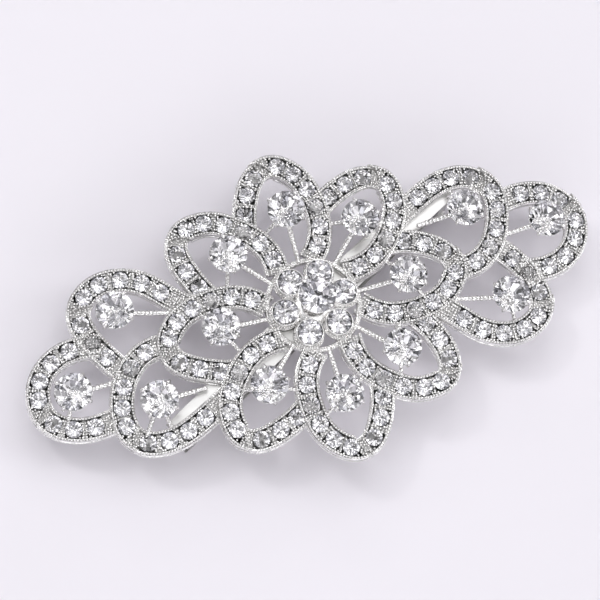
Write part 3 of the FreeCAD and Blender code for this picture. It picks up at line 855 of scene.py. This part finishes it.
def strand_rail(petal, strand, first, last, across, lift, step=0.3):
    """Points above a strand; across is a number, or a function of the travel."""
    points = []
    for travel in np.linspace(first, last, max(2, int((last - first) / step))):
        offset = across(travel) if callable(across) else across
        x, y = petal["ribbon"].at(travel, offset)
        points.append(dome_point(x, y, strand_top(petal, travel, strand) + lift))
    return points


def start_travel(petal):
    """Where the ribbon's middle line comes clear of the rosette's bezels."""
    ribbon = petal["ribbon"]
    for travel in np.linspace(0, 6, 61):
        place = ribbon.at(travel)
        gap = min(np.linalg.norm(place - bezel) for bezel in BEZEL_PLACES)
        if np.linalg.norm(place) > ROSETTE_REACH and gap > BEZEL_REACH:
            return travel
    return 0.0


def scatter_grains(petal, first, seats, dice):
    """Grains wherever a strand is bare, on an uneven grid that keeps off the stones."""
    grains = []
    for travel in np.arange(first + 0.3, petal["ribbon"].length - 0.2, GRAIN_PITCH):
        for strand in ("over", "under"):
            low, high = (0, petal["fold"][1]) if strand == "over" else (petal["fold"][0] + 1.0, 99)
            right, left = strand_edges(petal, travel, strand)
            if not low <= travel <= high or left - right < 1.1:
                continue
            for across in np.arange(right + 0.68, left - 0.6, GRAIN_PITCH):
                place = (travel + dice.uniform(-GRAIN_JITTER, GRAIN_JITTER),
                         across + dice.uniform(-GRAIN_JITTER, GRAIN_JITTER))
                near = [math.hypot(place[0] - seat[0], place[1] - seat[2]) - PAVE_RADIUS * seat[3]
                        for seat in seats if seat[1] == strand]
                if near and min(near) < 0.04:
                    continue
                points = strand_rail(petal, strand, place[0], place[0] + 0.01, place[1],
                                     -GRAIN_SINK)
                grains.append((points, dice.uniform(0.17, 0.25)))
    return grains


def petal_band(name, petal):
    start, end = petal["fold"]
    length = petal["ribbon"].length
    first = start_travel(petal)
    edge = BAND_HALF - BEAD_INSET
    parts = [sweep_strand(name + "_over", petal, "over", first, end),
             sweep_strand(name + "_under", petal, "under", start + 0.2, length)]

    def inner_edge(travel):
        return strand_edges(petal, travel, "under")[1] - BEAD_INSET

    def fold_edge(travel):
        return max(crease(petal, travel), -BAND_HALF) - FOLD_BEAD_INSET

    bead_rails = [
        (strand_rail(petal, "over", first, end - 0.6, -edge, 0.0), BEAD_RADIUS),
        (strand_rail(petal, "over", first, start - 0.3, edge, 0.0), BEAD_RADIUS),
        (strand_rail(petal, "over", start - 0.3, end - 0.8, fold_edge, 0.0), BEAD_RADIUS * 0.9),
        (strand_rail(petal, "under", start + 1.4, length, inner_edge, 0.0), BEAD_RADIUS),
        (strand_rail(petal, "under", end + 0.1, length, -edge, 0.0), BEAD_RADIUS),
        (strand_rail(petal, "over", first, end, -BAND_HALF, -BACK_BEAD_DEPTH),
         BACK_BEAD_RADIUS),
        (strand_rail(petal, "under", end, length, -BAND_HALF, -BACK_BEAD_DEPTH),
         BACK_BEAD_RADIUS),
    ]
    seats = list(plan_seats(petal))
    dice = np.random.default_rng(len(PETALS) * len(name) + int(abs(petal["turn"])))
    parts.append(beads(name + "_beads", bead_rails, BEAD_PITCH, len(name)))
    grains = scatter_grains(petal, first, seats, dice)
    parts.append(beads(name + "_grains", grains, 1.0, len(name)))
    stones = []
    for travel, strand, across, room in seats:
        x, y = petal["ribbon"].at(travel, across)
        lift = strand_top(petal, travel, strand) - STONE_SINK
        stones.append((dome_point(x, y, lift), dome_normal(x, y), room))
    return joined(name + "_ribbon", parts), stones


metal_pieces, all_seats = {}, {"inner": [], "right_end": [], "left_end": []}
for name, petal in PETALS.items():
    metal_pieces[name], seats = petal_band(name, petal)
    group = name[:-len(name.split("_")[-1]) - 1] if "_end_" in name else "inner"
    all_seats[group] += seats
print("faces on one ribbon:", len(metal_pieces["top"].data.polygons))

small_stones = {group: set_stones(group + "_small_rhinestones", pave_pattern, seats, 7)
                for group, seats in all_seats.items()}
print("small stones:", {group: len(seats) for group, seats in all_seats.items()})

# %% [markdown]
# ## Claw cups, stalks and large stones
# Each large stone sits in an open cup with four claws whose ball ends grip the crown. The cup
# is turned on a lathe, each claw is a short bent wire with a bead, and a beaded stalk and
# short legs join the cup to the rosette and to the ribbon.

# %% Build the claw cups
CUP = [(0.0, -2.46), (1.10, -2.46), (1.32, -2.36), (1.40, -2.1), (1.92, -1.5), (2.10, -1.46),
       (2.20, -1.36), (2.14, -1.22), (2.55, -0.72), (2.84, -0.46), (2.93, -0.34), (2.95, -0.24),
       (2.88, -0.18), (2.80, -0.24), (2.60, -0.50), (0.34, -2.36), (0.0, -2.38)]
CLAW_PATH = [(2.72, -1.0), (3.00, -0.4), (3.08, 0.0), (2.98, 0.28), (2.74, 0.46)]
CLAW_RADII = [0.34, 0.32, 0.28, 0.25, 0.22]
CLAW_BALL = 0.31
STONE_LIFT = 3.1
STALK_BELOW_STONE, STALK_END_DEPTH = 2.1, 0.3
LEG_BELOW_STONE, LEG_END_DEPTH = 1.7, 0.5
STALK_WIRE, STALK_BEAD = 0.34, 0.45
LEG_WIRE, LEG_BEAD = 0.3, 0.4
STALK_BEAD_PITCH = 0.6


def claw_cup(name, spin):
    claws, tips = [], []
    for step in range(4):
        angle = math.radians(spin + 90 * step)
        points = [(r * math.cos(angle), r * math.sin(angle), z) for r, z in CLAW_PATH]
        claws.append((points, CLAW_RADII))
        x, y, z = points[-1]
        tips.append(([(x, y, z), (x, y, z + 0.001)], CLAW_BALL))
    return [lathe(name + "_cup", CUP, POLISHED), wires(name + "_claws", claws),
            beads(name + "_tips", tips, 1.0)]


def straight(start, end, count=12):
    return [start + (end - start) * i / (count - 1) for i in range(count)]


cup_parts = claw_cup("petal", 45.0)
cup_pieces, stone_pieces = {}, {}
for step, (name, petal) in enumerate(PETALS.items()):
    x, y = petal["stone"]
    stand = dome_frame(x, y, STONE_LIFT, petal["turn"])
    foot = dome_point(x, y, STONE_LIFT - STALK_BELOW_STONE)
    stalk = straight(foot, dome_point(*petal["stalk"], -STALK_END_DEPTH))
    core, string = [(stalk, STALK_WIRE)], [(stalk, STALK_BEAD)]
    leg_top = dome_point(x, y, STONE_LIFT - LEG_BELOW_STONE)
    for place in petal["legs"]:
        leg = straight(leg_top, dome_point(*place, -LEG_END_DEPTH))
        core.append((leg, LEG_WIRE))
        string.append((leg, LEG_BEAD))
    parts = [placed(part, stand) for part in cup_parts]
    parts += [wires(name + "_stalks", core),
              beads(name + "_stalk_beads", string, STALK_BEAD_PITCH)]
    cup_pieces[name] = joined(name + "_claw_setting", parts)
    table = [(dome_point(x, y, STONE_LIFT), dome_normal(x, y, STONE_LIFT), 1.0)]
    stone_pieces[name] = set_stones(name + "_large_rhinestone", large_patterns[step % 4], table,
                                    step, 0.03)
print("claw settings:", len(cup_pieces))

# %% [markdown]
# ## The rosette
# Six stones in turned bezels, edged with beads, ring the middle, and a seventh stands above
# them on a post. Bezels, rim and post are lathe work, placed on the dome like everything else.

# %% Build the rosette
RING_LIFT = 1.6
BEZEL = [(0.0, -1.6), (1.55, -1.6), (1.74, -1.5), (1.74, 0.1), (1.80, 0.3), (2.04, 1.05),
         (2.10, 1.35), (2.13, 1.55), (2.11, 1.66), (2.04, 1.70), (1.98, 1.64), (1.95, 1.54),
         (1.93, 1.45), (0.2, 0.02), (0.0, 0.0)]
PAD = [(0.0, -1.6), (2.05, -1.6), (2.2, -1.5), (2.42, -0.3), (2.42, -0.12), (2.3, 0.0), (0.0, 0.0)]
RIM = [(6.82, -1.6), (6.76, -1.5), (6.76, -0.5), (6.84, -0.4), (7.54, -0.4), (7.60, -0.5),
       (7.60, -1.5), (7.55, -1.6), (6.82, -1.6)]
DISC = [(0.0, -1.6), (3.2, -1.6), (3.3, -1.5), (3.3, -0.1), (3.2, 0.0), (1.6, 0.05), (0.0, 0.05)]
middle = dome_frame(0, 0)
rosette_parts = [placed(lathe("rim", RIM, RHODIUM, 96), middle),
                 placed(lathe("disc", DISC, RHODIUM, 48), middle)]
ring_seats = []
for x, y in BEZEL_PLACES:
    rosette_parts.append(placed(lathe("bezel", BEZEL, POLISHED, 40), dome_frame(x, y)))
    rosette_parts.append(placed(lathe("pad", PAD, RHODIUM, 32), dome_frame(x, y)))
    ring_seats.append((dome_point(x, y, RING_LIFT), dome_normal(x, y), 1.0))


def circle(radius, lift, count=160):
    return [dome_point(radius * math.cos(2 * math.pi * i / count),
                       radius * math.sin(2 * math.pi * i / count), lift)
            for i in range(count + 1)]


def bezel_arc(angle, radius, sweep, lift, count=40):
    """Part of a circle round one bezel, on the side that faces away from the middle."""
    out = math.radians(angle)
    centre = RING_RADIUS * np.array([math.cos(out), math.sin(out)])
    turns = np.linspace(out - math.radians(sweep), out + math.radians(sweep), count)
    return [dome_point(*(centre + radius * np.array([math.cos(t), math.sin(t)])), lift)
            for t in turns]


rosette_rows = [(circle(7.36, -0.28), 0.22), (circle(6.94, -0.28), 0.22),
                (circle(2.9, 0.05), 0.2)]
for angle in RING_ANGLES:
    rosette_rows += [(bezel_arc(angle, 2.1, 100, 0.12), 0.22),
                     (bezel_arc(angle, 2.36, 72, 0.0), 0.2)]
rosette_parts.append(beads("rosette_beads", rosette_rows, 0.4))
rosette = joined("rosette_setting", rosette_parts)
ring_stones = set_stones("rosette_rhinestones", ring_pattern, ring_seats, 11, 0.08)

CENTRE_LIFT = 6.3
POST = [(0.0, -0.4), (1.9, -0.4), (2.0, 0.1), (1.45, 0.5), (1.25, 1.2), (1.25, 3.4), (1.4, 3.8),
        (1.4, 4.1), (0.0, 4.1)]
top_stand = dome_frame(0, 0, CENTRE_LIFT)
centre_parts = [placed(part, top_stand) for part in claw_cup("centre", 30.0)]
centre_parts.append(placed(lathe("post", POST, POLISHED, 32), middle))
centre_setting = joined("centre_claw_setting", centre_parts)
centre_stone = set_stones("centre_rhinestone", large_patterns[1],
                          [(dome_point(0, 0, CENTRE_LIFT), (0, 0, 1), 0.985)], 40, 0.02)
print("rosette:", RING_STONES, "ring stones and 1 centre stone")

# %% [markdown]
# ## The clip underneath
# The base plate, hinge pin, lever, tension bow and catch prongs have their final shapes in
# the frame, so they stay as they are and only get the brushed steel. Everything else rides on
# the spray and stands for the plain CAD part whose place it takes.

# %% Hand the pieces over to the frame
for pattern in [pave_pattern, ring_pattern] + large_patterns:
    bpy.data.objects.remove(pattern)


def hand_over(piece, slot, *nodes):
    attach(piece, "spray")
    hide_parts(*nodes)


for name in PETALS:
    hand_over(metal_pieces[name], "rhodium_plate", name + "_petal_band")
    hand_over(cup_pieces[name], "rhodium_plate", name + "_claw_cup")
    hand_over(stone_pieces[name], "clear_crystal", name + "_petal_stone")
for group, piece in small_stones.items():
    hand_over(piece, "clear_crystal", group + "_small_stones")
hand_over(rosette, "rhodium_plate", "rosette_base")
hand_over(ring_stones, "clear_crystal", "rosette_stones")
hand_over(centre_setting, "rhodium_plate", "centre_claw_cup")
hand_over(centre_stone, "clear_crystal", "centre_stone")
for node in ("base_plate", "hinge_pin", "lever_arm", "tension_bow", "front_prong", "back_prong"):
    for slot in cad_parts[node].material_slots:
        slot.material = STEEL
print("pieces:", len(PETALS) * 3 + 7, "shown CAD parts: 6")

# %% [markdown]
# ## Stage, light and camera
# A pale floor fills the view. Bright stones need something to reflect, both light and dark:
# the sky is an even pale wall, with panels from near black to bright blended in, more so
# overhead, and three soft boxes stand in it. The camera is far away with a long lens, a
# little below the clip's middle, and turned so that the clip runs up to the right.

# %% Set the stage
PANEL_SCALE = 3.2
PANEL_TONES = [(0.0, 0.03), (0.38, 0.4), (0.58, 0.95), (0.78, 2.0)]
WALL_TONE = (0.72, 0.70, 0.74, 1)
FLOOR_REACH, FLOOR_GAP = 6.0, 0.0002


def floor_plane():
    material, nodes, links, body = shader("studio_floor", Roughness=0.85,
                                          Specular_IOR_Level=0.2)
    tone = blend_colours(nodes, links, noise(nodes, links, 6, 2), (0.86, 0.83, 0.88),
                         (0.88, 0.85, 0.90))
    links.new(tone, body["Base Color"])
    mesh = bpy.data.meshes.new("floor")
    corners = [(x * FLOOR_REACH, y * FLOOR_REACH, 0) for x, y in
               ((-1, -1), (1, -1), (1, 1), (-1, 1))]
    mesh.from_pydata(corners, [], [(0, 1, 2, 3)])
    mesh.transform(Matrix.Translation((0, 0, -FLOOR_GAP)))
    mesh.materials.append(material)
    plane = linked("floor", mesh)


def sky():
    """Even pale wall all round, with darker and brighter panels that grow stronger overhead."""
    world = bpy.data.worlds.new("studio")
    bpy.context.scene.world = world
    world.use_nodes = True
    nodes, links = world.node_tree.nodes, world.node_tree.links
    place = nodes.new("ShaderNodeTexCoord")
    panels = nodes.new("ShaderNodeTexVoronoi")
    panels.inputs["Scale"].default_value = PANEL_SCALE
    links.new(place.outputs["Generated"], panels.inputs["Vector"])
    pick = nodes.new("ShaderNodeSeparateColor")
    links.new(panels.outputs["Color"], pick.inputs["Color"])
    ramp = nodes.new("ShaderNodeValToRGB")
    ramp.color_ramp.interpolation = "CONSTANT"
    for stop, value in PANEL_TONES:
        if stop == 0.0:
            element = ramp.color_ramp.elements[0]
        else:
            element = ramp.color_ramp.elements.new(stop)
        element.color = (value, value, value * 1.02, 1)
    ramp.color_ramp.elements.remove(ramp.color_ramp.elements[-1])
    links.new(pick.outputs["Red"], ramp.inputs["Fac"])
    split = nodes.new("ShaderNodeSeparateXYZ")
    links.new(place.outputs["Generated"], split.inputs[0])
    height = remap(nodes, links, split.outputs["Z"], 0.0, 1.0, 0.05, 0.3)
    mixed = nodes.new("ShaderNodeMix")
    mixed.data_type = "RGBA"
    mixed.inputs["A"].default_value = WALL_TONE
    links.new(height, mixed.inputs["Factor"])
    links.new(ramp.outputs["Color"], mixed.inputs["B"])
    links.new(mixed.outputs["Result"], nodes["Background"].inputs["Color"])


def soft_box(name, place, size, power, tint=(1, 1, 1)):
    light = bpy.data.lights.new(name, "AREA")
    light.shape = "RECTANGLE"
    light.size, light.size_y = size
    light.energy = power
    light.color = tint
    box = linked(name, light)
    box.location = place
    box.rotation_euler = Vector(place).to_track_quat("Z", "Y").to_euler()


floor_plane()
sky()
soft_box("key", (-0.35, 0.45, 0.8), (0.14, 0.14), 1.1)
soft_box("side", (0.7, -0.15, 0.6), (0.12, 0.2), 0.4)
soft_box("back", (0.15, 0.7, 0.5), (0.3, 0.08), 0.3)

# %% [markdown]
# The camera's three turns are those of a hand holding the clip almost square to the lens:
# tipped back, swung a little to the side, and rolled.

# %% Aim the camera
TIP_BACK, SWING, ROLL = math.radians(14.54), math.radians(-5.16), math.radians(-17.33)
CAMERA_DISTANCE = 400.0
CAMERA_SHIFT = (-2.12, 0.67)
camera = linked("camera", bpy.data.cameras.new("camera"))
bpy.context.scene.camera = camera
camera.data.lens = 156.0
camera.data.sensor_width = 36.0
turn = Euler((TIP_BACK, SWING, ROLL), "XYZ").to_matrix()
offset = turn @ Vector((CAMERA_SHIFT[0], CAMERA_SHIFT[1], CAMERA_DISTANCE))
camera.matrix_world = Matrix.Translation((offset + Vector((0, 0, CROWN_Z))) * MM) @ turn.to_4x4()
bpy.context.scene.view_settings.view_transform = "Standard"
